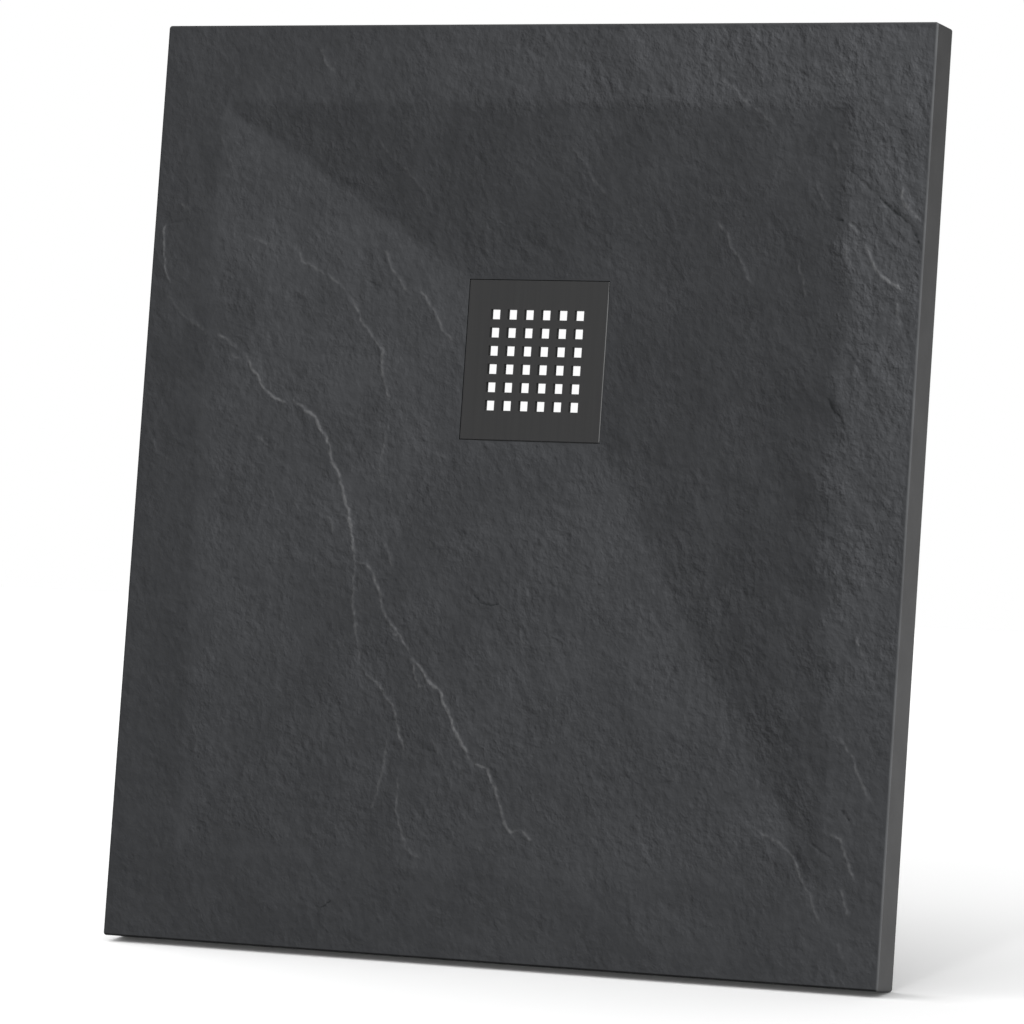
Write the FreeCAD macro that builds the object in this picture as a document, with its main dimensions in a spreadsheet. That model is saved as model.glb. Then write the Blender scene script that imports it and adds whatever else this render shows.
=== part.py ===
import FreeCAD, Part
import os
import Sketcher

# A low slate-effect shower tray: a solid resin casting under a coloured gel coat,
# with four flat falls to a nearly square drain, and a loose steel grate that stands
# in the drain on four rubber feet.
# The origin is the centre of the underside. +Z is up, +Y is the end with the drain.

os.makedirs("parts", exist_ok=True)
doc = FreeCAD.newDocument("ShowerTray")

drivingSizes = {
    "trayWidth": 900,
    "trayLength": 1000,
    "trayHeight": 45,
    "cornerRadius": 3,
    "edgeChamfer": 2,
    "coat": 2,
    "coatLip": 1,
    "rimLeft": 77,
    "rimRight": 79,
    "rimRear": 84,
    "rimFront": 90,
    "basinFall": 22,
    "drainRight": 8.5,
    "drainRear": 359,
    "pocketWidth": 165.6,
    "pocketLength": 174.6,
    "openingSide": 146,
    "plateWidth": 164,
    "plateLength": 173,
    "plateThickness": 6,
    "plateRecess": 0.2,
    "plateCorner": 1.5,
    "plateChamfer": 1,
    "holeSide": 10.8,
    "holePitch": 19.6,
    "holeRow": 6,
    "footDiameter": 8,
    "footHeight": 4,
    "footRounding": 0.8,
    "footReach": 77.6,
    "studDiameter": 4,
    "studLength": 2.5,
    "studClearance": 0.1,
}

sizes = doc.addObject("Spreadsheet::Sheet", "Sizes")
for row, (alias, value) in enumerate(drivingSizes.items(), start=1):
    sizes.set("A%d" % row, alias)
    sizes.set("B%d" % row, str(value))
    sizes.setAlias("B%d" % row, alias)
doc.recompute()

# Places that several pieces share.
drainX = "Sizes.drainRight"
drainY = "(Sizes.trayLength / 2 - Sizes.drainRear)"
pocketDepth = "(Sizes.plateRecess + Sizes.plateThickness + Sizes.footHeight)"
ledgeTop = "(Sizes.trayHeight - Sizes.basinFall - %s)" % pocketDepth
plateUnderside = "(%s + Sizes.footHeight)" % ledgeTop


def addSketch(body, name, planeRole, height="0"):
    """A sketch on one of the body's own origin planes, raised along its normal."""
    planes = [item for item in body.Origin.OriginFeatures if item.Role == planeRole]
    sketch = body.newObject("Sketcher::SketchObject", name)
    sketch.AttachmentSupport = [(planes[0], "")]
    sketch.MapMode = "FlatFace"
    sketch.setExpression("AttachmentOffset.Base.z", height)
    return sketch


def addPolygon(sketch, corners):
    """A closed polygon whose corners are pairs of expressions, measured from the origin."""
    points = []
    for across, along in corners:
        x = float(sketch.evalExpression(across))
        y = float(sketch.evalExpression(along))
        points.append(FreeCAD.Vector(x, y, 0))
    count = len(points)
    for index in range(count):
        following = (index + 1) % count
        sketch.addGeometry(Part.LineSegment(points[index], points[following]), False)
    for index in range(count):
        following = (index + 1) % count
        sketch.addConstraint(Sketcher.Constraint("Coincident", index, 2, following, 1))
    for index, (across, along) in enumerate(corners):
        for kind, letter, text, value in (
            ("DistanceX", "x", across, points[index].x),
            ("DistanceY", "y", along, points[index].y),
        ):
            number = sketch.addConstraint(Sketcher.Constraint(kind, -1, 1, index, 1, value))
            sketch.renameConstraint(number, "%s%d" % (letter, index))
            sketch.setExpression("Constraints.%s%d" % (letter, index), text)


def rectangle(left, right, front, rear):
    return [(left, front), (right, front), (right, rear), (left, rear)]


def centred(centreX, centreY, width, length):
    return rectangle(
        "%s - (%s) / 2" % (centreX, width),
        "%s + (%s) / 2" % (centreX, width),
        "%s - (%s) / 2" % (centreY, length),
        "%s + (%s) / 2" % (centreY, length),
    )


def addPad(body, name, sketch, length):
    pad = body.newObject("PartDesign::Pad", name)
    pad.Profile = sketch
    pad.setExpression("Length", length)
    doc.recompute()
    return pad


def addPocket(body, name, sketch, depth=None):
    """Cuts downwards from its sketch: by a depth, or through all without one."""
    before = body.Shape.Volume
    pocket = body.newObject("PartDesign::Pocket", name)
    pocket.Profile = sketch
    if depth is None:
        pocket.Type = "ThroughAll"
    else:
        pocket.setExpression("Length", depth)
    doc.recompute()
    print(body.Label, name, "takes away", round(before - pocket.Shape.Volume), "mm3")
    if pocket.Shape.Volume >= before:
        raise ValueError(name + " cuts nothing")
    return pocket


def uprightEdges(feature):
    names = []
    for number, edge in enumerate(feature.Shape.Edges, start=1):
        start, end = edge.firstVertex().Point, edge.lastVertex().Point
        if abs(start.x - end.x) < 1e-6 and abs(start.y - end.y) < 1e-6:
            names.append("Edge%d" % number)
    return names


def topEdges(feature):
    top = feature.Shape.BoundBox.ZMax
    names = []
    for number, edge in enumerate(feature.Shape.Edges, start=1):
        if edge.BoundBox.ZMin > top - 1e-6:
            names.append("Edge%d" % number)
    return names


def roundCorners(body, name, feature, radius):
    fillet = body.newObject("PartDesign::Fillet", name)
    fillet.Base = (feature, uprightEdges(feature))
    fillet.setExpression("Radius", radius)
    doc.recompute()
    return fillet


def bevelTop(body, name, feature, size):
    chamfer = body.newObject("PartDesign::Chamfer", name)
    chamfer.Base = (feature, topEdges(feature))
    chamfer.setExpression("Size", size)
    doc.recompute()
    return chamfer


def trayForm(name, skin, underside):
    """The tray's form: skin is how far it lies inside the finished faces."""
    body = doc.addObject("PartDesign::Body", name)
    body.Label = name
    halfWidth = "(Sizes.trayWidth / 2 - %s)" % skin
    halfLength = "(Sizes.trayLength / 2 - %s)" % skin
    top = "(Sizes.trayHeight - %s)" % skin

    outline = addSketch(body, name + "_outline", "XY_Plane", underside)
    addPolygon(outline, rectangle("-" + halfWidth, halfWidth, "-" + halfLength, halfLength))
    slab = addPad(body, name + "_slab", outline, "%s - %s" % (top, underside))
    rounded = roundCorners(body, name + "_corners", slab, "Sizes.cornerRadius - %s" % skin)
    bevelTop(body, name + "_edge", rounded, "Sizes.edgeChamfer - (2 - sqrt(2)) * %s" % skin)

    # Four flat falls: from the rim's inner rectangle to the top of the drain pocket.
    rim = addSketch(body, name + "_rim", "XY_Plane", top)
    addPolygon(rim, rectangle(
        "Sizes.rimLeft - Sizes.trayWidth / 2",
        "Sizes.trayWidth / 2 - Sizes.rimRight",
        "Sizes.rimFront - Sizes.trayLength / 2",
        "Sizes.trayLength / 2 - Sizes.rimRear",
    ))
    pocketMouth = centred(
        drainX, drainY,
        "Sizes.pocketWidth + 2 * %s" % skin,
        "Sizes.pocketLength + 2 * %s" % skin,
    )
    mouth = addSketch(body, name + "_mouth", "XY_Plane", top + " - Sizes.basinFall")
    addPolygon(mouth, pocketMouth)
    before = body.Shape.Volume
    falls = body.newObject("PartDesign::SubtractiveLoft", name + "_falls")
    falls.Profile = rim
    falls.Sections = [mouth]
    falls.Ruled = True
    doc.recompute()
    print(name, "falls take away", round(before - falls.Shape.Volume), "mm3")

    recess = addSketch(body, name + "_recess", "XY_Plane", top + " - Sizes.basinFall")
    addPolygon(recess, pocketMouth)
    addPocket(body, name + "_pocket", recess, pocketDepth)

    waste = addSketch(body, name + "_waste", "XY_Plane", "%s - %s" % (ledgeTop, skin))
    addPolygon(waste, centred(drainX, drainY, "Sizes.openingSide", "Sizes.openingSide"))
    addPocket(body, name + "_opening", waste)
    return body


def trayCasting():
    return trayForm("tray_casting", "Sizes.coat", "0")


def gelCoat(casting):
    """The coat is what lies between the finished form and the casting."""
    finished = trayForm("finished_form", "0", "Sizes.coatLip")
    coat = doc.addObject("Part::Cut", "gel_coat")
    coat.Base = finished
    coat.Tool = casting
    coat.Label = "gel_coat"
    return coat


def placeAtDrain(piece, acrossBy, alongBy, height):
    piece.setExpression("Placement.Base.x", "%s + %s" % (drainX, acrossBy))
    piece.setExpression("Placement.Base.y", "%s + %s" % (drainY, alongBy))
    piece.setExpression("Placement.Base.z", height)


def gratePlate():
    """A plate with a grid of square holes, its origin under its centre."""
    body = doc.addObject("PartDesign::Body", "grate_plate")
    body.Label = "grate_plate"
    outline = addSketch(body, "plate_outline", "XY_Plane")
    addPolygon(outline, centred("0", "0", "Sizes.plateWidth", "Sizes.plateLength"))
    sheet = addPad(body, "plate_sheet", outline, "Sizes.plateThickness")
    rounded = roundCorners(body, "plate_corners", sheet, "Sizes.plateCorner")
    bevelTop(body, "plate_edge", rounded, "Sizes.plateChamfer")

    firstHole = "-(Sizes.holeRow - 1) * Sizes.holePitch / 2"
    holeSketch = addSketch(body, "first_hole_outline", "XY_Plane", "Sizes.plateThickness")
    addPolygon(holeSketch, centred(firstHole, firstHole, "Sizes.holeSide", "Sizes.holeSide"))
    hole = addPocket(body, "first_hole", holeSketch)

    grid = body.newObject("PartDesign::MultiTransform", "hole_grid")
    grid.Originals = [hole]
    rows = []
    for name, direction in (("holes_across", "H_Axis"), ("holes_along", "V_Axis")):
        line = body.newObject("PartDesign::LinearPattern", name)
        line.Direction = (holeSketch, [direction])
        line.setExpression("Length", "(Sizes.holeRow - 1) * Sizes.holePitch")
        line.setExpression("Occurrences", "Sizes.holeRow")
        rows.append(line)
    grid.Transformations = rows
    body.Tip = grid
    placeAtDrain(body, "0", "0", plateUnderside)
    return body


# The four feet stand on the ledge, under the corners of the plate.
footPlaces = {
    "rear_left": ("-Sizes.footReach", "Sizes.footReach"),
    "rear_right": ("Sizes.footReach", "Sizes.footReach"),
    "front_left": ("-Sizes.footReach", "-Sizes.footReach"),
    "front_right": ("Sizes.footReach", "-Sizes.footReach"),
}


def grateStuds():
    """Four short studs welded under the plate's corners; each holds a foot."""
    studs = []
    for place, (acrossBy, alongBy) in footPlaces.items():
        stud = doc.addObject("Part::Cylinder", "stud_" + place)
        stud.setExpression("Radius", "Sizes.studDiameter / 2")
        stud.setExpression("Height", "Sizes.studLength")
        placeAtDrain(stud, acrossBy, alongBy, "%s - Sizes.studLength" % plateUnderside)
        studs.append(stud)
    group = doc.addObject("Part::Compound", "grate_studs")
    group.Links = studs
    group.Label = "grate_studs"
    return group


def grateFoot(place, acrossBy, alongBy):
    """A round rubber foot with a socket for its stud, turned about its own axis."""
    name = "foot_" + place
    body = doc.addObject("PartDesign::Body", name)
    body.Label = name
    radius = "(Sizes.footDiameter / 2)"
    socket = "(Sizes.studDiameter / 2 + Sizes.studClearance)"
    socketFloor = "Sizes.footHeight - Sizes.studLength - Sizes.studClearance"
    profile = addSketch(body, name + "_profile", "XZ_Plane")
    addPolygon(profile, [
        ("0", "0"),
        (radius + " - Sizes.footRounding", "0"),
        (radius, "Sizes.footRounding"),
        (radius, "Sizes.footHeight"),
        (socket, "Sizes.footHeight"),
        (socket, socketFloor),
        ("0", socketFloor),
    ])
    turned = body.newObject("PartDesign::Revolution", name + "_turned")
    turned.Profile = profile
    turned.ReferenceAxis = (profile, ["V_Axis"])
    turned.Angle = 360
    placeAtDrain(body, acrossBy, alongBy, ledgeTop)
    return body


casting = trayCasting()
pieces = [casting, gelCoat(casting), gratePlate(), grateStuds()]
for place, (acrossBy, alongBy) in footPlaces.items():
    pieces.append(grateFoot(place, acrossBy, alongBy))
doc.recompute()

for item in doc.Objects:
    if "Invalid" in item.State or "Error" in item.State:
        raise ValueError(item.Name + " did not recompute")
for piece in pieces:
    if piece.Shape.isNull() or not piece.Shape.isValid():
        raise ValueError(piece.Label + " has no valid shape")
for piece in pieces:
    box = piece.Shape.BoundBox
    print(
        piece.Label, "solids", len(piece.Shape.Solids), "volume", round(piece.Shape.Volume),
        "x", round(box.XMin, 2), round(box.XMax, 2),
        "y", round(box.YMin, 2), round(box.YMax, 2),
        "z", round(box.ZMin, 2), round(box.ZMax, 2),
    )
    piece.Shape.exportStep("parts/%s.step" % piece.Label)
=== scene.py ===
import math

import bmesh
import bpy
import numpy as np
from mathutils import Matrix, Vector, noise
from mathutils.bvhtree import BVHTree


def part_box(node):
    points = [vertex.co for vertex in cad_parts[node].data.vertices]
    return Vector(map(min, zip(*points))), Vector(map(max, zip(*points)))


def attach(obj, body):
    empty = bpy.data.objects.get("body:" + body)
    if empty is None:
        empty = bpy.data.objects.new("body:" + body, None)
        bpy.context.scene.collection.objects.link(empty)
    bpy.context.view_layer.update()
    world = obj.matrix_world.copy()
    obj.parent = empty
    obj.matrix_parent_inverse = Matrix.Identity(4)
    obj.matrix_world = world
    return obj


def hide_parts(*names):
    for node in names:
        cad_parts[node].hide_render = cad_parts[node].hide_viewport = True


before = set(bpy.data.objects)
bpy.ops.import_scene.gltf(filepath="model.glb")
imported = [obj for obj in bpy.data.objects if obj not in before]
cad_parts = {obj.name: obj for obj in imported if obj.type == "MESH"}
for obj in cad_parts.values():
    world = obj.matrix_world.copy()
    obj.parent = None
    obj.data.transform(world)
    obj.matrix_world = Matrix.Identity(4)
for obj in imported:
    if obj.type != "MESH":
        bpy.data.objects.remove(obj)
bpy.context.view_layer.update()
print("frame loaded")
noise.seed_set(11)           # noise_vector differs from run to run without it

coatLow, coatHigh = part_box("gel_coat")
plateLow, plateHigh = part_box("grate_plate")
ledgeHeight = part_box("foot_rear_left")[0].z
plateGap = 0.00012           # open line round the grate
closeBy = 1e-5               # places nearer than this count as the same
pocketLow = plateLow - Vector((plateGap, plateGap, 0))
pocketHigh = plateHigh + Vector((plateGap, plateGap, 0))
drain = (pocketLow + pocketHigh) / 2
pocketHalf = (pocketHigh - pocketLow) / 2


class Wire:
    # one value in a material; arithmetic on it adds Math nodes

    def __init__(self, look, socket):
        self.look = look
        self.socket = socket

    def combine(self, operation, left, right):
        return self.look.node("ShaderNodeMath", {"operation": operation}, {0: left, 1: right})

    def __add__(self, other):
        return self.combine("ADD", self, other)

    def __sub__(self, other):
        return self.combine("SUBTRACT", self, other)

    def __rsub__(self, other):
        return self.combine("SUBTRACT", other, self)

    def __mul__(self, other):
        return self.combine("MULTIPLY", self, other)

    __radd__ = __add__
    __rmul__ = __mul__


class Look:
    # the nodes of one material, or of the world

    def __init__(self, owner):
        owner.use_nodes = True
        self.owner = owner
        self.tree = owner.node_tree
        self.tree.nodes.clear()
        self.place = self.node("ShaderNodeTexCoord", output="Object")

    def node(self, kind, settings=None, sockets=None, output=0):
        made = self.tree.nodes.new(kind)
        for name, value in (settings or {}).items():
            setattr(made, name, value)
        for name, value in (sockets or {}).items():
            if isinstance(value, Wire):
                self.tree.links.new(value.socket, made.inputs[name])
            else:
                made.inputs[name].default_value = value
        return Wire(self, made.outputs[output]) if made.outputs else None

    def turned(self, degrees, stretch):
        # object coordinates turned about Z, then scaled
        spun = self.node("ShaderNodeMapping", {}, {
            "Vector": self.place,
            "Rotation": (0, 0, math.radians(degrees)),
        })
        return self.node("ShaderNodeMapping", {}, {"Vector": spun, "Scale": stretch})

    def speckle(self, place, scale, detail=3.0, roughness=0.5):
        return self.node("ShaderNodeTexNoise", {}, {
            "Vector": place, "Scale": scale, "Detail": detail, "Roughness": roughness,
        })

    def between(self, value, low, high):
        # 0 below low, 1 above high, smooth in between
        return self.node("ShaderNodeMapRange", {"interpolation_type": "SMOOTHSTEP"}, {
            "Value": value, "From Min": low, "From Max": high,
        })

    def blend(self, factor, first, second):
        # sockets 6 and 7 and output 2 are the node's colours
        settings = {"data_type": "RGBA"}
        return self.node("ShaderNodeMix", settings, {0: factor, 6: first, 7: second}, output=2)

    def attribute(self, name):
        return self.node("ShaderNodeAttribute", {"attribute_name": name}, output="Fac")

    def bump(self, height, distance):
        return self.node("ShaderNodeBump", {}, {
            "Height": height, "Distance": distance, "Strength": 1.0,
        })

    def finish(self, sockets):
        shader = self.node("ShaderNodeBsdfPrincipled", {}, sockets)
        self.node("ShaderNodeOutputMaterial", {}, {"Surface": shader})
        return self.owner


def newLook(name):
    return Look(bpy.data.materials.new(name))


def tone(red, green, blue):
    return (red, green, blue, 1.0)


coatShape = {
    "cell": 0.0038,           # grid size of the face
    "border": 0.0007,         # a narrow first row of cells keeps the bevel crisp
    "veinCuts": 2,            # extra cuts in each cell near a vein
    "veinReach": 0.0055,      # how far from a vein the cells are cut
    "edge": 0.0018,           # bevel between the face and the sides
    "bevelReach": 0.0019,     # bevel and sides lie this near the box's sides
    "bevelDepth": 0.0033,     # and the bevel this near its top
    "cornerPull": 0.0009,     # how far the upright corners are drawn in
    "creaseAngle": 38.0,      # edges sharper than this are shaded sharp, degrees
    "fall": 0.022,            # from the rim down to the drain
    "rimLeft": (0.0735, 0.0815),     # rim width at the rear and at the front
    "rimRight": (0.0905, 0.0685),
    "rimRear": (0.0856, 0.0826),     # rim width at the left and at the right
    "rimFront": (0.0934, 0.0894),
    "rimBlend": 0.005,        # softness of the creases, as a share of the fall
    "frontBelly": 0.012,      # the front fall is slightly full in the middle
    "opening": 0.146,
    "coatDepth": 0.002,       # how far the coat laps over the opening's edge
    "meanSink": 0.0008,       # the face's mean level under the top of the box
    "deepest": 0.0018,        # how far under it the relief may reach at most
    "highest": 0.00002,       # how far under it the coat stays at least
    "rise": 0.00055,          # how far it comes up beside the grate
    "thinnest": 0.0001,       # what the coat keeps over the casting
}

# Heights and sizes in metres. A pair of sizes is across the grain and along it.
slateRelief = {
    "grain": -65.0,           # direction of the cleft, degrees from +X
    "seed": 3.7,
    "swell": 0.0004,          # broad unevenness
    "swellSize": 0.09,
    "lump": 0.00025,          # lumps along the grain
    "lumpSize": (0.014, 0.018),
    "crease": 0.00019,        # sharp small folds, with smaller chips in them
    "creaseSize": (0.015, 0.021),
    "chipSize": (0.0095, 0.011),
    "bendSize": 0.016,
    "flake": 0.0005,          # edges where a layer has come away
    "flakeSize": (0.045, 0.1),
    "flakeLayers": 3.6,
    "flakeStep": (0.4, 0.2),  # where in a layer its edge starts, and how wide it is
    "patchSize": 0.05,        # rougher and calmer patches
    "patchShare": 0.55,
}

# How strong the relief is, as shares of the heights above, and between which places.
reliefShare = {
    "least": 0.47,
    "rearRightRim": 0.48,
    "acrossRim": (-0.35, 0.25),
    "alongRim": (-0.32, -0.06),
    "litFalls": 0.26,         # the falls to the front and the left are a little rougher
    "litTurn": (-0.16, 0.12),
    "rimDepth": (0.0002, 0.0016),
}

# Where the relief fades, in metres from the pocket's edge or from the tray's sides.
reliefFade = {
    "small": (0.0, 0.003),    # grains and veins, from the pocket's edge outwards
    "broad": (0.0, 0.05),     # swells and flakes, likewise
    "sides": (0.002, 0.006),
    "sidesShare": 0.6,        # what is left of the grains and veins at the sides
    "creases": (-0.001, 0.02),       # near the pocket the creases don't wander
    "beside": (-0.03, 0.0),   # the coat's rise beside the grate sets in over this
    "rise": (0.0, 0.035),     # and is gone this far from it
}

# How far the creases between rim and falls wander off their straight lines.
creaseWander = {
    "reach": 0.014,
    "size": 0.045,
    "seed": 5.1,
    "straight": 0.08,         # what is left of it at a straight crease
    "rightCrease": (0.24, 0.36),
    "leftCrease": (0.28, 0.38),
    "leftShare": 0.3,
}

# What all veins have in common.
veinForm = {
    "share": 0.72,            # all their heights are scaled by this
    "ragged": [(0.0018, 0.009, 1.3), (0.0011, 0.0042, 2.6)],     # reach, size and seed
    "around": 0.04,           # how far off a vein is still felt
    "endShare": 0.12,         # share of its length over which it fades at each end
    "endHeight": 0.35,        # and to how much
    "lineWidth": 1.15,        # of the pale line, against the steep side; the line is partly the vein's own paler tone and partly painted highlight
    "fullMark": 0.8,          # a vein this high, in millimetres, has the full pale line of tone and painted highlight
    "fleckSize": 0.005,
    "fleckSeed": 8.2,
    "fleck": 0.9,             # the line's mean strength, and how much it changes
    "crackMark": 0.15,        # a crack gets painted shade where its line is stronger than this
}
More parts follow.
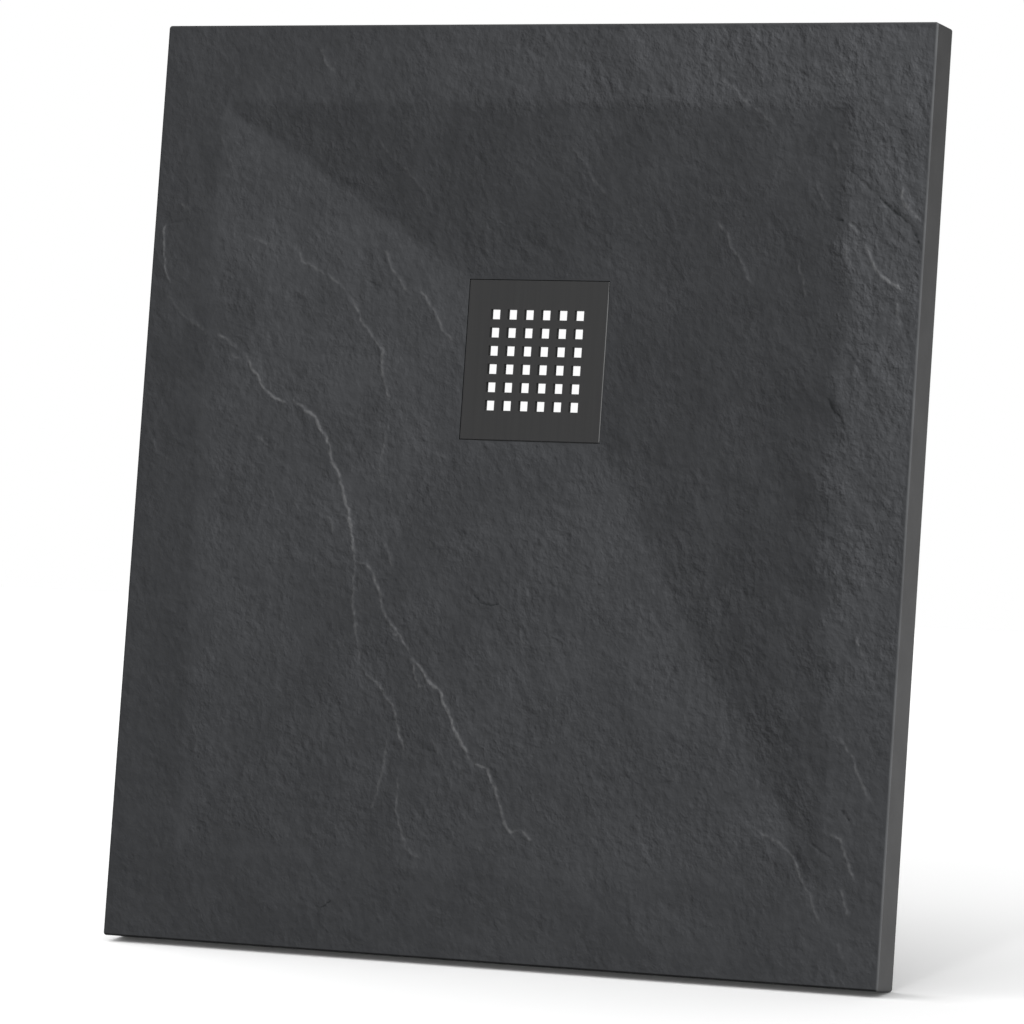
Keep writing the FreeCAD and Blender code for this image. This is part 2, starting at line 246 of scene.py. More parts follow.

# Traced in millimetres from the middle of the tray: +X right, +Y to the drain end.
# Each has its height, which is below zero for a crack, and how far its steep side and its
# gentle side reach.
slateVeins = [
    {"name": "leftHook", "height": 0.55, "steep": 1.2, "gentle": 9, "points": [
        (-435, 282), (-438, 271), (-436, 252), (-432, 227), (-424, 213)]},
    {"name": "leftRise", "height": 0.32, "steep": 1.8, "gentle": 12, "points": [
        (-431, 205), (-420, 194), (-407, 180), (-394, 172), (-381, 166), (-373, 154)]},
    {"name": "leftChip", "height": 0.45, "steep": 1.3, "gentle": 8, "points": [
        (-364, 161), (-353, 156), (-339, 145)]},
    {"name": "leftChipLow", "height": 0.4, "steep": 1.2, "gentle": 6, "points": [
        (-345, 138), (-335, 133)]},
    {"name": "shoulder", "height": 0.75, "steep": 1.3, "gentle": 10, "points": [
        (-327, 137), (-318, 122), (-308, 109), (-299, 98), (-284, 90), (-275, 87)]},
    {"name": "longRidge", "height": 0.8, "steep": 1.4, "gentle": 12, "points": [
        (-268, 91), (-255, 82), (-241, 72), (-234, 60), (-222, 43), (-219, 29), (-209, 13),
        (-201, -13), (-194, -31), (-190, -48), (-186, -67), (-182, -83)]},
    {"name": "longRidgeLow", "height": 0.42, "steep": 1.4, "gentle": 11, "points": [
        (-182, -83), (-183, -104), (-183, -123), (-180, -134), (-174, -163), (-167, -193)]},
    {"name": "longRidgeFoot", "height": 0.5, "steep": 1.4, "gentle": 10, "points": [
        (-167, -193), (-157, -203), (-143, -211), (-134, -225), (-125, -233), (-119, -245),
        (-114, -263), (-107, -276), (-105, -292)]},
    {"name": "rightRidge", "height": 0.52, "steep": 1.3, "gentle": 11, "points": [
        (-183, -81), (-169, -84), (-160, -98), (-151, -114), (-148, -127), (-140, -142),
        (-126, -155), (-115, -169), (-106, -184)]},
    {"name": "rightRidgeLow", "height": 0.85, "steep": 1.4, "gentle": 12, "points": [
        (-106, -184), (-95, -191), (-88, -202), (-80, -209), (-68, -218), (-64, -230),
        (-53, -244), (-47, -260), (-36, -275), (-26, -288)]},
    {"name": "rightRidgeEnd", "height": 0.6, "steep": 1.4, "gentle": 11, "points": [
        (-26, -288), (-6, -298), (0, -308), (8, -325), (15, -339), (18, -352), (26, -361),
        (37, -360)]},
    {"name": "rightRidgeTip", "height": 0.6, "steep": 1.3, "gentle": 5, "points": [
        (39, -360), (45, -363), (52, -369)]},
    {"name": "loop", "height": 0.5, "steep": 1.2, "gentle": 4, "points": [
        (-106, -184), (-103, -193), (-101, -205), (-94, -212), (-85, -211)]},
    {"name": "spur", "height": 0.4, "steep": 1.1, "gentle": 4, "points": [
        (-138, -154), (-125, -159)]},
    {"name": "footLeft", "height": 0.32, "steep": 1.6, "gentle": 8, "points": [
        (-127, -264), (-128, -291), (-129, -309), (-135, -336), (-139, -353)]},
    {"name": "footRight", "height": 0.4, "steep": 1.5, "gentle": 8, "points": [
        (-110, -306), (-109, -330), (-108, -348), (-100, -369), (-94, -385), (-83, -392),
        (-70, -395)]},
    {"name": "secondVein", "height": 0.42, "steep": 1.4, "gentle": 10, "points": [
        (-279, 256), (-269, 243), (-250, 233), (-235, 225), (-223, 218), (-212, 206)]},
    {"name": "secondVeinLow", "height": 0.47, "steep": 1.4, "gentle": 10, "points": [
        (-212, 206), (-202, 193), (-195, 179), (-187, 169), (-176, 157), (-168, 148),
        (-168, 134), (-166, 121), (-160, 102), (-150, 86)]},
    {"name": "secondVeinTail", "height": 0.3, "steep": 1.6, "gentle": 9, "points": [
        (-158, 72), (-158, 51), (-162, 31), (-163, 18), (-157, 3)]},
    {"name": "upperLeftFlake", "height": 0.3, "steep": 1.4, "gentle": 7, "points": [
        (-329, 266), (-316, 262), (-302, 259)]},
    {"name": "nearPlate", "height": 0.42, "steep": 1.4, "gentle": 8, "points": [
        (-173, 259), (-168, 242), (-156, 226), (-142, 210)]},
    {"name": "nearPlateDip", "height": -0.35, "steep": 1.3, "gentle": 3, "points": [
        (-190, 223), (-177, 217), (-166, 207)]},
    {"name": "plateEdge", "height": 0.3, "steep": 1.4, "gentle": 6, "points": [
        (-102, 40), (-83, 32)]},
    {"name": "hook", "height": 0.35, "steep": 1.2, "gentle": 4, "points": [
        (-221, -34), (-215, -38), (-211, -52)]},
    {"name": "leftFlake", "height": 0.35, "steep": 1.5, "gentle": 6, "points": [
        (-308, 50), (-294, 40)]},
    {"name": "middleFlake", "height": 0.32, "steep": 1.5, "gentle": 7, "points": [
        (-151, -57), (-139, -87)]},
    {"name": "lowFlake", "height": 0.35, "steep": 1.4, "gentle": 6, "points": [
        (15, -145), (28, -171)]},
    {"name": "lowChip", "height": 0.3, "steep": 1.3, "gentle": 4, "points": [
        (-47, -289), (-38, -299)]},
    {"name": "plateCrack", "height": -0.5, "steep": 1.1, "gentle": 1.1, "points": [
        (-41, -111), (-30, -120), (-18, -122), (-9, -120)]},
    {"name": "edgeCrack", "height": -0.6, "steep": 1.2, "gentle": 1.2, "points": [
        (-431, 281), (-421, 281), (-409, 285)]},
    {"name": "footCrack", "height": -0.4, "steep": 1.2, "gentle": 1.2, "points": [
        (-188, -453), (-177, -447)]},
    {"name": "rearLeftFlake", "height": 0.3, "steep": 1.5, "gentle": 8, "points": [
        (-419, 304), (-410, 295)]},
    {"name": "rearFlake", "height": 0.32, "steep": 1.6, "gentle": 9, "points": [
        (187, 465), (198, 450), (210, 442), (226, 431), (242, 416), (263, 402), (278, 388)]},
    {"name": "rightFlakeHigh", "height": 0.3, "steep": 1.5, "gentle": 8, "points": [
        (325, 332), (332, 316), (343, 303)]},
    {"name": "cornerFlake", "height": 0.35, "steep": 1.6, "gentle": 7, "points": [
        (342, 376), (348, 355)]},
    {"name": "cornerFlakeRear", "height": 0.3, "steep": 1.6, "gentle": 7, "points": [
        (348, 455), (353, 434)]},
    {"name": "rimRise", "height": 0.5, "steep": 1.6, "gentle": 9, "points": [
        (422, 329), (423, 311), (432, 304), (444, 291)]},
    {"name": "rimStart", "height": 0.45, "steep": 1.5, "gentle": 7, "points": [
        (364, 290), (373, 283), (377, 278)]},
    {"name": "rimRidge", "height": 0.8, "steep": 1.5, "gentle": 9, "points": [
        (384, 266), (391, 256), (396, 246), (404, 236), (412, 230), (422, 225), (429, 219)]},
    {"name": "rimDrop", "height": 0.45, "steep": 1.4, "gentle": 6, "points": [
        (423, 210), (425, 197), (429, 181)]},
    {"name": "rimInner", "height": 0.35, "steep": 1.5, "gentle": 7, "points": [
        (363, 264), (366, 253), (374, 242), (383, 235)]},
    {"name": "fallRight", "height": 0.32, "steep": 1.6, "gentle": 8, "points": [
        (306, 253), (315, 235), (322, 211)]},
    {"name": "rimCrack", "height": -0.5, "steep": 1.6, "gentle": 3, "points": [
        (362, 345), (377, 335), (387, 325), (396, 317), (415, 302), (433, 288), (446, 269)]},
    {"name": "rimNick", "height": -0.4, "steep": 1.2, "gentle": 1.4, "points": [
        (348, 294), (358, 292)]},
    {"name": "rimCrackLow", "height": -0.4, "steep": 1.5, "gentle": 3, "points": [
        (373, 157), (382, 144), (388, 134)]},
    {"name": "rimCrackFoot", "height": -0.4, "steep": 1.6, "gentle": 3, "points": [
        (355, 105), (363, 92), (378, 79)]},
    {"name": "rimSpur", "height": 0.42, "steep": 1.4, "gentle": 7, "points": [
        (400, -138), (408, -151), (416, -168)]},
    {"name": "lowRim", "height": 0.38, "steep": 1.5, "gentle": 9, "points": [
        (384, -240), (399, -252), (408, -266), (416, -286), (431, -309)]},
    {"name": "frontRight", "height": 0.38, "steep": 1.5, "gentle": 10, "points": [
        (293, -337), (313, -348), (332, -356), (348, -368), (357, -388), (370, -408),
        (378, -428), (387, -440)]},
    {"name": "frontRightRim", "height": 0.55, "steep": 1.4, "gentle": 8, "points": [
        (385, -342), (399, -348), (405, -362), (416, -388)]},
    {"name": "frontRightFoot", "height": 0.35, "steep": 1.5, "gentle": 6, "points": [
        (402, -396), (408, -413), (413, -426)]},
    {"name": "frontTip", "height": 0.35, "steep": 1.5, "gentle": 6, "points": [
        (402, -454), (410, -469)]},
    {"name": "frontCrack", "height": -0.55, "steep": 1.3, "gentle": 1.6, "points": [
        (366, -354), (391, -368)]},
    {"name": "frontNick", "height": -0.4, "steep": 1.3, "gentle": 1.6, "points": [
        (398, -318), (408, -326)]},
    {"name": "frontFlake", "height": 0.3, "steep": 1.5, "gentle": 6, "points": [
        (346, -314), (356, -330)]},
    {"name": "plateVein", "height": 0.5, "steep": 1.4, "gentle": 8, "points": [
        (-130, 216), (-121, 203), (-112, 191), (-106, 180), (-98, 167), (-86, 158)]},
    {"name": "topFacetLine", "height": 0.26, "steep": 1.6, "gentle": 9, "points": [
        (-193, 396), (-184, 371), (-159, 348), (-145, 336), (-131, 323), (-118, 295)]},
    {"name": "rearRimChip", "height": 0.34, "steep": 1.5, "gentle": 7, "points": [
        (-262, 475), (-252, 456), (-241, 448)]},
    {"name": "rearRimLine", "height": 0.2, "steep": 1.6, "gentle": 7, "points": [
        (-339, 440), (-332, 428), (-323, 415)]},
    {"name": "topFacetRight", "height": 0.26, "steep": 1.6, "gentle": 9, "points": [
        (39, 375), (48, 363), (56, 353), (75, 327), (86, 316)]},
    {"name": "topFacetShort", "height": 0.2, "steep": 1.6, "gentle": 8, "points": [
        (81, 406), (88, 390), (95, 370)]},
    {"name": "facetLine", "height": 0.38, "steep": 1.5, "gentle": 8, "points": [
        (207, 293), (219, 285), (226, 278), (230, 264), (245, 249), (257, 225)]},
    {"name": "leftCrease", "height": 0.25, "steep": 1.6, "gentle": 7, "points": [
        (-377, 379), (-368, 362), (-359, 340)]},
    {"name": "leftRimLine", "height": 0.25, "steep": 1.5, "gentle": 6, "points": [
        (-435, 47), (-427, 31), (-410, 20)]},
    {"name": "leftLowLine", "height": -0.22, "steep": 1.4, "gentle": 3, "points": [
        (-335, -292), (-323, -299), (-310, -306)]},
    {"name": "midChip", "height": 0.24, "steep": 1.5, "gentle": 6, "points": [
        (-75, -265), (-63, -285), (-52, -303)]},
    {"name": "rightDim", "height": 0.24, "steep": 1.5, "gentle": 6, "points": [
        (372, -73), (383, -89)]},
]


def smooth(value, low, high):
    share = np.clip((value - low) / (high - low), 0, 1)
    return share * share * (3 - 2 * share)


def veinDistances(points, vein):
    # how far each point lies from a vein, on which side, and how far along it
    route = np.array(vein["points"], float) / 1000
    nearest = np.full(len(points), 1.0)
    side = np.zeros(len(points))
    along = np.zeros(len(points))
    lengths = np.hypot(*np.diff(route, axis=0).T)
    travelled = 0.0
    for start, end, length in zip(route[:-1], route[1:], lengths):
        run = (end - start) / length
        offset = points - start
        share = np.clip(offset @ run, 0, length)
        gap = offset - share[:, None] * run
        distance = np.hypot(gap[:, 0], gap[:, 1])
        closer = distance < nearest
        nearest[closer] = distance[closer]
        side[closer] = (offset[:, 1] * run[0] - offset[:, 0] * run[1])[closer]
        along[closer] = (travelled + share[closer]) / lengths.sum()
        travelled += length
    return nearest, side, along


def wander(points, reach, scale, shift):
    # nudges each point a little, so that traced lines come out ragged
    moved = np.empty_like(points)
    for index, (x, y) in enumerate(points):
        nudge = noise.noise_vector(Vector((x / scale, y / scale, shift)))
        moved[index] = (x + reach * nudge.x, y + reach * nudge.y)
    return moved


def fallDepth(points):
    # four flat falls from the rim's inner edges down to the pocket
    x, y = points[:, 0], points[:, 1]
    halfWidth, halfLength = coatHigh.x, coatHigh.y
    toFront = (halfLength - y) / (2 * halfLength)
    toRight = (x + halfWidth) / (2 * halfWidth)

    def rim(name, share):
        first, last = coatShape[name]
        return first + (last - first) * share

    left = -halfWidth + rim("rimLeft", toFront)
    right = halfWidth - rim("rimRight", toFront)
    rear = halfLength - rim("rimRear", toRight)
    front = -halfLength + rim("rimFront", toRight)
    shares = np.stack([
        (x - left) / (pocketLow.x - left),
        (right - x) / (right - pocketHigh.x),
        (rear - y) / (rear - pocketHigh.y),
        (y - front) / (pocketLow.y - front),
    ])
    shares[3] -= coatShape["frontBelly"] * 4 * shares[3] * (1 - shares[3])
    softness = coatShape["rimBlend"]
    lowest = -softness * np.log(np.exp(-shares / softness).sum(axis=0))
    rounded = softness * 0.5 * np.log1p(np.exp(lowest / (softness * 0.5)))
    return coatShape["fall"] * np.minimum(rounded, 1.0)


def fold(x, y, z):
    # noise with sharp crests, between -1 and 1
    return 1 - 4 * abs(noise.noise(Vector((x, y, z))))


def reliefHeight(points):
    # cleft slate without its veins: broad waves, then the small lumps on them
    angle = math.radians(slateRelief["grain"])
    run = (math.cos(angle), math.sin(angle))
    seed = slateRelief["seed"]
    swellSize, lumpSize, bendSize, creaseSize, chipSize, flakeSize, patchSize = (
        slateRelief[name + "Size"]
        for name in ("swell", "lump", "bend", "crease", "chip", "flake", "patch")
    )
    stepStart, stepWidth = slateRelief["flakeStep"]
    broad = np.zeros(len(points))
    small = np.zeros(len(points))
    for index, (x, y) in enumerate(points):
        along = x * run[0] + y * run[1]
        across = x * -run[1] + y * run[0]
        swell = noise.fractal(Vector((x / swellSize, y / swellSize, seed)), 1.0, 2.0, 2)
        lump = noise.fractal(
            Vector((across / lumpSize[0], along / lumpSize[1], seed + 4)), 1.0, 2.1, 2
        )
        bend = noise.noise(Vector((x / bendSize, y / bendSize, seed + 2))) * 0.5
        crease = fold(across / creaseSize[0] + bend, along / creaseSize[1], seed + 9)
        chip = fold(across / chipSize[0], along / chipSize[1] + bend, seed + 12)
        layer = noise.noise(Vector((across / flakeSize[0], along / flakeSize[1], seed + 7)))
        layer = layer * slateRelief["flakeLayers"] + bend * 0.5
        floor = math.floor(layer)
        step = min(max((layer - floor - stepStart) / stepWidth, 0), 1)
        flake = (floor + step * step * (3 - 2 * step)) / 3
        patch = noise.noise(Vector((x / patchSize, y / patchSize, seed + 15)))
        rough = slateRelief["lump"] * lump
        rough += slateRelief["crease"] * (crease * 0.6 - chip * 0.5)
        small[index] = rough * (1 + slateRelief["patchShare"] * patch)
        broad[index] = slateRelief["swell"] * swell + slateRelief["flake"] * flake
    return broad, small


def reliefStrength(points, depth):
    # roughest on the rim to the rear right, calmer on the falls and to the front left
    x, y = points[:, 0], points[:, 1]
    rim = 1 - smooth(depth, *reliefShare["rimDepth"])
    rearRight = smooth(x, *reliefShare["acrossRim"]) * smooth(y, *reliefShare["alongRim"])
    lit = 1 - smooth(0.8 * x + y - drain.y, *reliefShare["litTurn"])
    strength = reliefShare["least"] + rim * reliefShare["rearRightRim"] * rearRight
    return strength + (1 - rim) * reliefShare["litFalls"] * lit


def veinHeight(points):
    # raised and sunk lines, and how strongly each point is on one: the raised ones get a pale
    # line, partly their own tone and partly painted highlight, the sunk ones painted shade
    ragged = points
    for reach, size, seed in veinForm["ragged"]:
        ragged = wander(ragged, reach, size, seed)
    size, seed = veinForm["fleckSize"], veinForm["fleckSeed"]
    fleck = np.array([
        veinForm["fleck"] * (1 + noise.noise(Vector((x / size, y / size, seed))))
        for x, y in points
    ])
    height = np.zeros(len(points))
    veinToneHighlightShade = np.zeros(len(points))
    for vein in slateVeins:
        route = np.array(vein["points"], float) / 1000
        inside = np.all(ragged > route.min(axis=0) - veinForm["around"], axis=1)
        inside &= np.all(ragged < route.max(axis=0) + veinForm["around"], axis=1)
        where = np.nonzero(inside)[0]
        if len(where) == 0:
            continue
        distance, side, along = veinDistances(ragged[where], vein)
        ends = veinForm["endShare"]
        taper = smooth(along, 0.0, ends) * (1 - smooth(along, 1 - ends, 1.0))
        taper = veinForm["endHeight"] + (1 - veinForm["endHeight"]) * taper
        reach = np.where(side > 0, vein["steep"], vein["gentle"]) / 1000
        shape = np.exp(-(distance / reach) ** np.where(side > 0, 2.0, 1.0))
        peak = vein["height"] * veinForm["share"] / 1000
        height[where] += peak * taper * shape
        width = veinForm["lineWidth"] * vein["steep"] / 1000
        line = np.exp(-(distance / width) ** 2) * fleck[where]
        line *= abs(vein["height"]) / veinForm["fullMark"]
        veinToneHighlightShade[where] = np.maximum(veinToneHighlightShade[where], taper * line * np.sign(peak))
        # cracks get painted shade in place of the pale line
        if peak < 0:
            veinToneHighlightShade[where] = np.where(line > veinForm["crackMark"], -line, veinToneHighlightShade[where])
    return height, veinToneHighlightShade


def spacedLines(low, high, holeLow, holeHigh):
    # grid lines across the face, with two of them on the pocket's edges
    cell = coatShape["cell"]
    border = coatShape["border"]
    places = [low, low + border]
    for start, end in ((low + border, holeLow), (holeLow, holeHigh), (holeHigh, high - border)):
        count = round((end - start) / cell)
        places.extend(start + (end - start) * (step + 1) / count for step in range(count))
    places.append(high)
    return places


def onSides(x, y, halfWidth, halfLength):
    return abs(x) > halfWidth - closeBy or abs(y) > halfLength - closeBy


def boundaryEdges(mesh, test):
    return [
        edge for edge in mesh.edges
        if edge.is_boundary and all(test(vertex.co) for vertex in edge.verts)
    ]


def drawOut(mesh, edges):
    # extrudes an open border and gives back its new edges and vertices
    made = bmesh.ops.extrude_edge_only(mesh, edges=edges)["geom"]
    newEdges = [item for item in made if isinstance(item, bmesh.types.BMEdge)]
    newVertices = [item for item in made if isinstance(item, bmesh.types.BMVert)]
    border = [edge for edge in newEdges if edge.is_boundary]
    return border, newVertices


def faceGrid():
    mesh = bmesh.new()
    edge = coatShape["edge"]
    columns = spacedLines(coatLow.x + edge, coatHigh.x - edge, pocketLow.x, pocketHigh.x)
    rows = spacedLines(coatLow.y + edge, coatHigh.y - edge, pocketLow.y, pocketHigh.y)
    across, along = len(columns) - 1, len(rows) - 1
    bmesh.ops.create_grid(mesh, x_segments=across, y_segments=along, size=1.0)
    for vertex in mesh.verts:
        column = round((vertex.co.x + 1) / 2 * across)
        row = round((vertex.co.y + 1) / 2 * along)
        vertex.co = Vector((columns[column], rows[row], 0))
    covered = []
    for face in mesh.faces:
        middle = face.calc_center_median()
        if pocketLow.x < middle.x < pocketHigh.x and pocketLow.y < middle.y < pocketHigh.y:
            covered.append(face)
    bmesh.ops.delete(mesh, geom=covered, context="FACES")
    return mesh


def refineVeins(mesh):
    mesh.verts.ensure_lookup_table()
    points = np.array([vertex.co[:2] for vertex in mesh.verts])
    near = np.zeros(len(points), bool)
    for vein in slateVeins:
        near |= veinDistances(points, vein)[0] < coatShape["veinReach"]
    mesh.verts.index_update()
    edges = [
        edge for edge in mesh.edges
        if near[edge.verts[0].index] and near[edge.verts[1].index]
    ]
    bmesh.ops.subdivide_edges(
        mesh, edges=edges, cuts=coatShape["veinCuts"], use_grid_fill=True
    )


def castingTop(points):
    # how high the casting reaches under each point of the face
    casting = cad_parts["tray_casting"].data
    tree = BVHTree.FromPolygons(
        [vertex.co for vertex in casting.vertices],
        [polygon.vertices for polygon in casting.polygons],
    )
    tops = np.zeros(len(points))
    for index, (x, y) in enumerate(points):
        place = tree.ray_cast(Vector((x, y, coatHigh.z)), Vector((0, 0, -1)))[0]
        tops[index] = place.z if place else 0.0
    return tops


def shapeFace(mesh):
    mesh.verts.ensure_lookup_table()
    points = np.array([vertex.co[:2] for vertex in mesh.verts])
    fromPocket = np.maximum(
        abs(points[:, 0] - drain.x) - pocketHalf.x,
        abs(points[:, 1] - drain.y) - pocketHalf.y,
    )
    fromEdge = np.minimum(coatHigh.x - abs(points[:, 0]), coatHigh.y - abs(points[:, 1]))
    atSides = reliefFade["sidesShare"]
    inside = atSides + (1 - atSides) * smooth(fromEdge, *reliefFade["sides"])
    flush = smooth(fromPocket, *reliefFade["small"]) * inside
    level = smooth(fromPocket, *reliefFade["broad"])
    settled = smooth(fromPocket, *reliefFade["creases"])
    # the right-hand crease wanders, the left one a little, the others are nearly straight
    wavy = smooth(points[:, 0], *creaseWander["rightCrease"])
    wavy += creaseWander["leftShare"] * smooth(-points[:, 0], *creaseWander["leftCrease"])
    bent = wander(points, creaseWander["reach"], creaseWander["size"], creaseWander["seed"])
    bent -= points
    bent[:, 0] *= creaseWander["straight"] + (1 - creaseWander["straight"]) * wavy
    bent[:, 1] *= creaseWander["straight"]
    depth = fallDepth(points + bent) * settled
    depth += fallDepth(points) * (1 - settled)

    veins, veinToneHighlightShade = veinHeight(points)
    strength = reliefStrength(points, depth)
    broad, small = reliefHeight(points)
    relief = broad * strength * level + (small * strength + veins) * flush
    # to the left and the rear the coat comes up to the grate
    beside = smooth(pocketLow.x - points[:, 0], *reliefFade["beside"])
    behind = smooth(points[:, 1] - pocketHigh.y, *reliefFade["beside"])
    raised = coatShape["rise"] * np.maximum(beside, behind)
    raised *= 1 - smooth(fromPocket, *reliefFade["rise"])
    sink = coatShape["meanSink"] - relief - raised
    sink = np.clip(sink, coatShape["highest"], coatShape["deepest"])
    heights = np.maximum(coatHigh.z - depth - sink, castingTop(points) + coatShape["thinnest"])

    # the vein layer carries the pale line with its painted highlight, and the painted shade of
    # the cracks
    veinToneHighlightShadeLayer = mesh.verts.layers.float.new("vein")
    crestLayer = mesh.verts.layers.float.new("crest")
    strengthLayer = mesh.verts.layers.float.new("strength")
    for index, vertex in enumerate(mesh.verts):
        vertex.co.z = heights[index]
        vertex[veinToneHighlightShadeLayer] = veinToneHighlightShade[index]
        vertex[crestLayer] = relief[index] * 1000
        vertex[strengthLayer] = strength[index] * flush[index]


def addSides(mesh):
    # bevelled edge, then the plain sides down to the lip and in to the casting
    edge = coatShape["edge"]
    halfWidth, halfLength = coatHigh.x, coatHigh.y
    border = boundaryEdges(
        mesh, lambda place: onSides(place.x, place.y, halfWidth - edge, halfLength - edge)
    )
    bevelEnd = coatHigh.z - coatShape["meanSink"] - edge
    innerWidth = halfWidth - edge
    innerLength = halfLength - edge
    # how far each ring lies out and down, as shares of the bevel, or out and at which height
    rings = [
        (0.14, 0.04, None), (0.92, 0.82, None), (1.0, 1.0, None),
        (1.0, None, coatHigh.z - 0.014), (1.0, None, coatLow.z + 0.0002),
        (0.9, None, coatLow.z), (0.0, None, coatLow.z),
    ]
    for out, down, level in rings:
        border, fresh = drawOut(mesh, border)
        for vertex in fresh:
            place = vertex.co
            width = innerWidth + edge * out
            length = innerLength + edge * out
            sideways = abs(place.x) > innerWidth - closeBy
            lengthways = abs(place.y) > innerLength - closeBy
            if sideways:
                place.x = math.copysign(width, place.x)
            if lengthways:
                place.y = math.copysign(length, place.y)
            if sideways and lengthways and out > 0.5:
                place.x -= math.copysign(coatShape["cornerPull"], place.x)
                place.y -= math.copysign(coatShape["cornerPull"], place.y)
            if level is None:
                place.z += (bevelEnd - place.z) * down
            else:
                place.z = level


def addPocket(mesh):
    # down the pocket's walls, in along the ledge and over the casting's edge
    def atPocket(place):
        inWidth = abs(place.x - drain.x) < pocketHalf.x + closeBy
        return inWidth and abs(place.y - drain.y) < pocketHalf.y + closeBy

    border = boundaryEdges(mesh, atPocket)
    half = coatShape["opening"] / 2
    wallX, wallY = pocketHalf.x, pocketHalf.y
    rings = [
        (wallX, wallY, ledgeHeight + 0.001),
        (wallX - 0.0012, wallY - 0.0012, ledgeHeight + 0.0001),
        (half + 0.0005, half + 0.0005, ledgeHeight),
        (half, half, ledgeHeight - 0.0005),
        (half, half, ledgeHeight - coatShape["coatDepth"]),
    ]
    for nextX, nextY, level in rings:
        border, fresh = drawOut(mesh, border)
        for vertex in fresh:
            vertex.co.x = drain.x + (vertex.co.x - drain.x) * nextX / wallX
            vertex.co.y = drain.y + (vertex.co.y - drain.y) * nextY / wallY
            vertex.co.z = level
        wallX, wallY = nextX, nextY


def slateCoat(faceLook, edgeLook, sideLook):
    mesh = faceGrid()
    refineVeins(mesh)
    print("slate grid", len(mesh.verts), "vertices")
    shapeFace(mesh)
    faceCount = len(mesh.faces)
    addSides(mesh)
    addPocket(mesh)
    mesh.faces.ensure_lookup_table()
    for face in mesh.faces:
        face.smooth = True
    bmesh.ops.recalc_face_normals(mesh, faces=mesh.faces)
    if sum(face.normal.z for face in mesh.faces[:100]) < 0:
        bmesh.ops.reverse_faces(mesh, faces=mesh.faces)
    for face in mesh.faces[faceCount:]:
        if isOutside(face) and not isUpright(face):
            face.material_index = 1
    sharpest = math.radians(coatShape["creaseAngle"])
    for edge in mesh.edges:
        if len(edge.link_faces) == 2 and edge.calc_face_angle() > sharpest:
            edge.smooth = False
    # the sides are a piece of their own, so that they can have their own lamp
    strip = mesh.copy()
    others = [face for face in strip.faces if not isUpright(face)]
    bmesh.ops.delete(strip, geom=others, context="FACES")
    upright = [face for face in mesh.faces if isUpright(face)]
    bmesh.ops.delete(mesh, geom=upright, context="FACES")
    sides = coatPiece("slate_sides", strip, [sideLook])
    return coatPiece("slate_skin", mesh, [faceLook, edgeLook]), sides


def isOutside(face):
    # on the bevel or on a side
    middle = face.calc_center_median()
    reach = coatShape["bevelReach"]
    return abs(middle.x) > coatHigh.x - reach or abs(middle.y) > coatHigh.y - reach


def isUpright(face):
    # on a side, under the bevel
    bevelLow = coatHigh.z - coatShape["bevelDepth"]
    return isOutside(face) and face.calc_center_median().z <= bevelLow


def coatPiece(name, mesh, looks):
    data = bpy.data.meshes.new(name)
    mesh.to_mesh(data)
    mesh.free()
    piece = bpy.data.objects.new(name, data)
    bpy.context.scene.collection.objects.link(piece)
    for look in looks:
        data.materials.append(look)
    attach(piece, "tray")
    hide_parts("gel_coat")
    triangles = sum(len(polygon.vertices) - 2 for polygon in data.polygons)
    print(name, triangles, "triangles")
    return piece


slateFinish = {
    "dark": tone(0.0288, 0.0297, 0.0317),
    "light": tone(0.0356, 0.0367, 0.0391),
    "paleRearRightRim": tone(0.0415, 0.0428, 0.0455),
    # pale vein line, partly the vein's own tone and partly painted highlight
    "veinToneAndHighlight": tone(0.062, 0.063, 0.065),
    # painted shade inside the cracks
    "crackPaintedShade": tone(0.012, 0.013, 0.014),
    "roughness": 0.62,
    "shine": 0.1,
    "bump": 0.00135,
    "flakeScale": 105,
    "gritScale": 640,
    "cloudScale": 14,
    "patchScale": 24,
    "creaseScale": 60,
}


def slateFaceLook():
    look = newLook("slate_face")
    grain = look.turned(90 - slateRelief["grain"], (1.0, 0.85, 1.0))
    flakes = look.speckle(grain, slateFinish["flakeScale"], 3, 0.52)
    grit = look.speckle(look.place, slateFinish["gritScale"], 3, 0.6)
    clouds = look.speckle(look.place, slateFinish["cloudScale"], 4, 0.6)
    patches = look.speckle(look.place, slateFinish["patchScale"], 3, 0.55)
    lines = look.speckle(grain, slateFinish["creaseScale"], 3, 0.55)
    crease = 1 - look.node("ShaderNodeMath", {"operation": "ABSOLUTE"}, {0: lines - 0.5}) * 2.6
    height = flakes + crease * 0.45 + grit * 0.03
    height = (height - 0.9) * (look.between(patches, 0.3, 0.68) * 0.7 + 0.65)

    vein = look.attribute("vein")
    crest = look.attribute("crest")
    shade = look.between(clouds + (flakes - 0.5) * 0.5 + crest * 0.25, 0.3, 0.75)
    colour = look.blend(shade, slateFinish["dark"], slateFinish["light"])
    # paler where the relief is strongest, mostly on the rim to the rear right
    paleRearRightRim = look.between(look.attribute("strength"), 0.72, 1.0)
    colour = look.blend(paleRearRightRim * 0.42, colour, slateFinish["paleRearRightRim"])
    # pale line along the veins: partly their own paler tone, partly painted highlight where
    # they catch the light
    colour = look.blend(look.between(vein, 0.06, 0.85), colour, slateFinish["veinToneAndHighlight"])
    # painted shade in the cracks
    colour = look.blend(look.between(vein * -1, 0.15, 0.7), colour, slateFinish["crackPaintedShade"])
    rough = slateFinish["roughness"] + (grit - 0.5) * 0.2
    return look.finish({
        "Base Color": colour,
        "Roughness": rough,
        "Specular IOR Level": slateFinish["shine"],
        "Normal": look.bump(height * look.attribute("strength"), slateFinish["bump"]),
    })


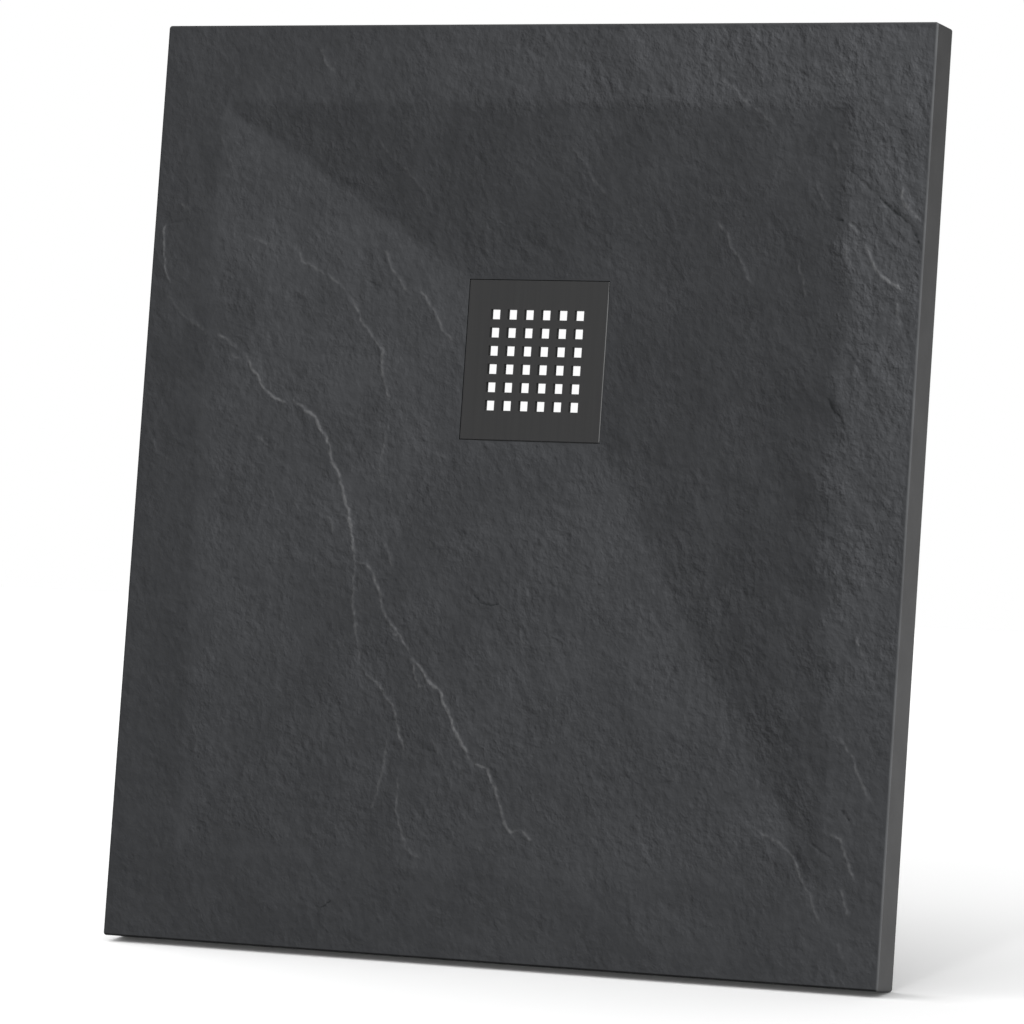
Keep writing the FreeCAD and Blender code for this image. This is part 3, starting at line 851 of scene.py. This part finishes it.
# the bevel catches the light, so it has tones of its own
sideFinish = {
    "edgeDark": tone(0.0238, 0.0244, 0.0252),
    "edgeLight": tone(0.028, 0.0287, 0.0295),
    "dark": tone(0.0315, 0.0315, 0.0318),
    "light": tone(0.0355, 0.0355, 0.0358),
    "roughness": 0.45,
    "shine": 0.02,
    "bump": 0.00012,
    "cloudScale": 25,
    "gritScale": 900,
}


def slateSideLook(name, dark, light):
    look = newLook(name)
    clouds = look.speckle(look.place, sideFinish["cloudScale"], 3)
    grit = look.speckle(look.place, sideFinish["gritScale"], 2)
    return look.finish({
        "Base Color": look.blend(look.between(clouds, 0.3, 0.7), dark, light),
        "Roughness": sideFinish["roughness"] + (grit - 0.5) * 0.15,
        "Specular IOR Level": sideFinish["shine"],
        "Normal": look.bump(grit + clouds * 3, sideFinish["bump"]),
    })


grateFinish = {
    "tone": tone(0.0385, 0.0385, 0.039),
    "light": tone(0.0435, 0.0435, 0.0435),
    "inside": tone(0.002, 0.002, 0.002),     # painted shade on the walls of its holes and on its sides
    "metal": 0.7,
    "roughness": 0.42,
    "shine": 0.03,
    "bump": 0.00003,
    "lineScale": 1400,
    "bandScale": 180,
}


def grateLook():
    look = newLook("brushed_plate")
    brushed = look.turned(0, (1.0, 0.012, 1.0))
    lines = look.speckle(brushed, grateFinish["lineScale"], 3, 0.7)
    bands = look.speckle(brushed, grateFinish["bandScale"], 3, 0.6)
    facing = look.node("ShaderNodeSeparateXYZ", {}, {
        "Vector": look.node("ShaderNodeTexCoord", output="Normal"),
    }, output="Z")
    flat = look.between(facing, 0.3, 0.75)
    streak = look.between(lines * 0.5 + bands * 0.5, 0.3, 0.7)
    colour = look.blend(streak, grateFinish["tone"], grateFinish["light"])
    # the upright faces, the walls of the holes and the sides, get the painted shade
    colour = look.blend(flat, grateFinish["inside"], colour)
    return look.finish({
        "Base Color": colour,
        "Metallic": flat * grateFinish["metal"],
        "Roughness": grateFinish["roughness"] + (lines - 0.5) * 0.2,
        "Specular IOR Level": grateFinish["shine"],
        "Normal": look.bump(lines, grateFinish["bump"]),
    })


studFinish = {
    "dark": tone(0.25, 0.25, 0.25),
    "light": tone(0.4, 0.4, 0.39),
    "roughness": 0.3,
    "lineScale": 2500,
}


def studLook():
    look = newLook("stud_steel")
    turned = look.turned(0, (1.0, 1.0, 0.1))
    lines = look.speckle(turned, studFinish["lineScale"], 2)
    return look.finish({
        "Base Color": look.blend(lines, studFinish["dark"], studFinish["light"]),
        "Metallic": 1.0,
        "Roughness": studFinish["roughness"] + lines * 0.2,
    })


rubberFinish = {
    "dark": tone(0.012, 0.012, 0.012),
    "light": tone(0.03, 0.03, 0.031),
    "roughness": 0.7,
    "bump": 0.00008,
    "gritScale": 1800,
    "bloomScale": 300,
}


def rubberLook():
    look = newLook("foot_rubber")
    grit = look.speckle(look.place, rubberFinish["gritScale"], 3)
    bloom = look.speckle(look.place, rubberFinish["bloomScale"], 2)
    return look.finish({
        "Base Color": look.blend(bloom, rubberFinish["dark"], rubberFinish["light"]),
        "Roughness": rubberFinish["roughness"] + (grit - 0.5) * 0.2,
        "Normal": look.bump(grit, rubberFinish["bump"]),
    })


resinFinish = {
    "dark": tone(0.10, 0.10, 0.097),
    "light": tone(0.15, 0.148, 0.142),
    "speck": tone(0.24, 0.235, 0.225),
    "roughness": 0.75,
    "bump": 0.0008,
    "cloudScale": 9,
    "grainScale": 420.0,
    "rippleScale": 35,
}


def resinLook():
    # raw cast resin with stone filler: pale specks and a few pinholes
    look = newLook("cast_resin")
    clouds = look.speckle(look.place, resinFinish["cloudScale"], 4, 0.6)
    grains = look.node("ShaderNodeTexVoronoi", {"feature": "F1"}, {
        "Vector": look.place, "Scale": resinFinish["grainScale"], "Randomness": 1.0,
    })
    pits = look.between(grains, 0.0, 0.22)
    cloudy = look.between(clouds, 0.3, 0.7)
    colour = look.blend(cloudy, resinFinish["dark"], resinFinish["light"])
    colour = look.blend(pits, resinFinish["speck"], colour)
    ripple = look.speckle(look.place, resinFinish["rippleScale"], 5, 0.65)
    return look.finish({
        "Base Color": colour,
        "Roughness": resinFinish["roughness"] + (clouds - 0.5) * 0.2,
        "Normal": look.bump(ripple + pits * 0.15, resinFinish["bump"]),
    })


def dress(node, material):
    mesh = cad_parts[node].data
    if mesh.materials:
        for index in range(len(mesh.materials)):
            mesh.materials[index] = material
    else:
        mesh.materials.append(material)


studio = {
    "lean": 9.44,                   # the tray leans back by this, in degrees
    "worldLight": 0.7,              # what the white room gives the tray
    # the key is low at the rear right, which brings out the relief; it is for all of the
    # tray but its sides, which have their own lamp on the right
    "key": {"name": "key", "from": (3.82, 2.58, 0.98), "size": 0.83, "power": 808.0},
    "sideLamp": {"name": "side_lamp", "from": (1.7, -0.42, 0.02), "size": 0.12, "power": 29.5},
}

floorLook = {
    "size": 7.0,
    "paper": tone(0.82, 0.82, 0.82),
    "bounce": tone(0.30, 0.30, 0.30),      # what the tray gets back from it
    # soft lamps for the floor alone: from (right, up, front as the tray stands)
    "suns": [                              # spread in degrees
        {"name": "floor_left", "from": (-0.9, 0.6, 0.0), "spread": 60.0, "power": 2.65},
        {"name": "floor_front", "from": (-0.17, 0.72, 0.75), "spread": 65.0, "power": 0.9},
        {"name": "floor_low", "from": (0.0, 0.176, 1.0), "spread": 5.0, "power": 1.1},
    ],
}

camera = {
    "place": (2.42302, -0.43055, 5.29842),
    "turn": (5.8058, 24.3819, 4.2731),     # degrees
    "lens": 192.41,                        # millimetres, as is the sensor
    "sensor": 36.0,
}


def standing(across, up, front):
    # a direction in the room, seen from the tray's own axes
    lean = math.radians(studio["lean"])
    return Vector((
        across,
        up * math.cos(lean) - front * math.sin(lean),
        up * math.sin(lean) + front * math.cos(lean),
    ))


def seenDirectly(look):
    # 1 for what the camera sees, also in a reflection or through a clear material
    seen = look.node("ShaderNodeLightPath", output="Is Camera Ray")
    for name in ("Is Glossy Ray", "Is Transmission Ray"):
        path = look.node("ShaderNodeLightPath", output=name)
        seen = seen.combine("MAXIMUM", seen, path)
    return seen


def addFloor():
    # the edge that the tray stands on touches the floor
    mesh = bmesh.new()
    bmesh.ops.create_grid(mesh, x_segments=1, y_segments=1, size=floorLook["size"] / 2)
    for vertex in mesh.verts:
        place = standing(vertex.co.x, 0, -vertex.co.y)
        vertex.co = place + Vector((0, coatLow.y, coatLow.z))
    bmesh.ops.recalc_face_normals(mesh, faces=mesh.faces)
    if mesh.faces[:][0].normal.y < 0:
        bmesh.ops.reverse_faces(mesh, faces=mesh.faces[:])
    data = bpy.data.meshes.new("studio_floor")
    mesh.to_mesh(data)
    mesh.free()
    floor = bpy.data.objects.new("studio_floor", data)
    bpy.context.scene.collection.objects.link(floor)

    look = newLook("floor_paper")
    paper = look.node("ShaderNodeBsdfDiffuse", {}, {"Color": floorLook["paper"]})
    bounce = look.node("ShaderNodeBsdfDiffuse", {}, {"Color": floorLook["bounce"]})
    lit = look.node("ShaderNodeMixShader", {}, {0: seenDirectly(look), 1: bounce, 2: paper})
    back = look.node("ShaderNodeNewGeometry", output="Backfacing")
    clear = look.node("ShaderNodeBsdfTransparent")
    mixed = look.node("ShaderNodeMixShader", {}, {0: back, 1: lit, 2: clear})
    look.node("ShaderNodeOutputMaterial", {}, {"Surface": mixed})
    data.materials.append(look.owner)
    return floor


def addFloorSuns(floor):
    # they keep the floor white and lay the soft shadow beside and behind the tray
    lit = bpy.data.collections.new("floor_only")
    lit.objects.link(floor)
    for facts in floorLook["suns"]:
        lamp = bpy.data.lights.new(facts["name"], "SUN")
        lamp.energy = facts["power"]
        lamp.angle = math.radians(facts["spread"])
        sun = bpy.data.objects.new(facts["name"], lamp)
        sun.rotation_euler = (-standing(*facts["from"])).to_track_quat("-Z", "Y").to_euler()
        bpy.context.scene.collection.objects.link(sun)
        sun.light_linking.receiver_collection = lit


def addLamp(facts, pieces):
    # it looks at the middle of the tray and lights these pieces only
    lit = bpy.data.collections.new("lit_by_" + facts["name"])
    for piece in pieces:
        lit.objects.link(piece)
    lamp = bpy.data.lights.new(facts["name"], "AREA")
    lamp.energy = facts["power"]
    lamp.size = facts["size"]
    source = bpy.data.objects.new(facts["name"], lamp)
    source.location = facts["from"]
    source.rotation_euler = (-Vector(facts["from"])).to_track_quat("-Z", "Y").to_euler()
    bpy.context.scene.collection.objects.link(source)
    source.light_linking.receiver_collection = lit


def addWorld():
    world = bpy.data.worlds.new("studio")
    bpy.context.scene.world = world
    look = Look(world)
    level = look.node("ShaderNodeMapRange", {}, {
        "Value": seenDirectly(look), "To Min": studio["worldLight"], "To Max": 1.0,
    })
    sky = look.node("ShaderNodeBackground", {}, {"Color": tone(1, 1, 1), "Strength": level})
    look.node("ShaderNodeOutputWorld", {}, {"Surface": sky})


def addCamera():
    eye = bpy.data.cameras.new("photo_view")
    eye.lens = camera["lens"]
    eye.sensor_width = camera["sensor"]
    eye.clip_end = 50.0
    view = bpy.data.objects.new("photo_view", eye)
    view.location = camera["place"]
    view.rotation_euler = [math.radians(angle) for angle in camera["turn"]]
    bpy.context.scene.collection.objects.link(view)
    bpy.context.scene.camera = view


skin, sides = slateCoat(
    slateFaceLook(),
    slateSideLook("slate_edge", sideFinish["edgeDark"], sideFinish["edgeLight"]),
    slateSideLook("slate_side", sideFinish["dark"], sideFinish["light"]),
)
dress("tray_casting", resinLook())
dress("grate_plate", grateLook())
dress("grate_studs", studLook())
rubber = rubberLook()
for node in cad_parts:
    if node.startswith("foot_"):
        dress(node, rubber)
print("grate and casting dressed")

addFloorSuns(addFloor())
addLamp(studio["key"], [skin] + list(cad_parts.values()))
addLamp(studio["sideLamp"], [sides, skin])
addWorld()
addCamera()
bpy.context.scene.view_settings.view_transform = "Standard"
print("studio ready")
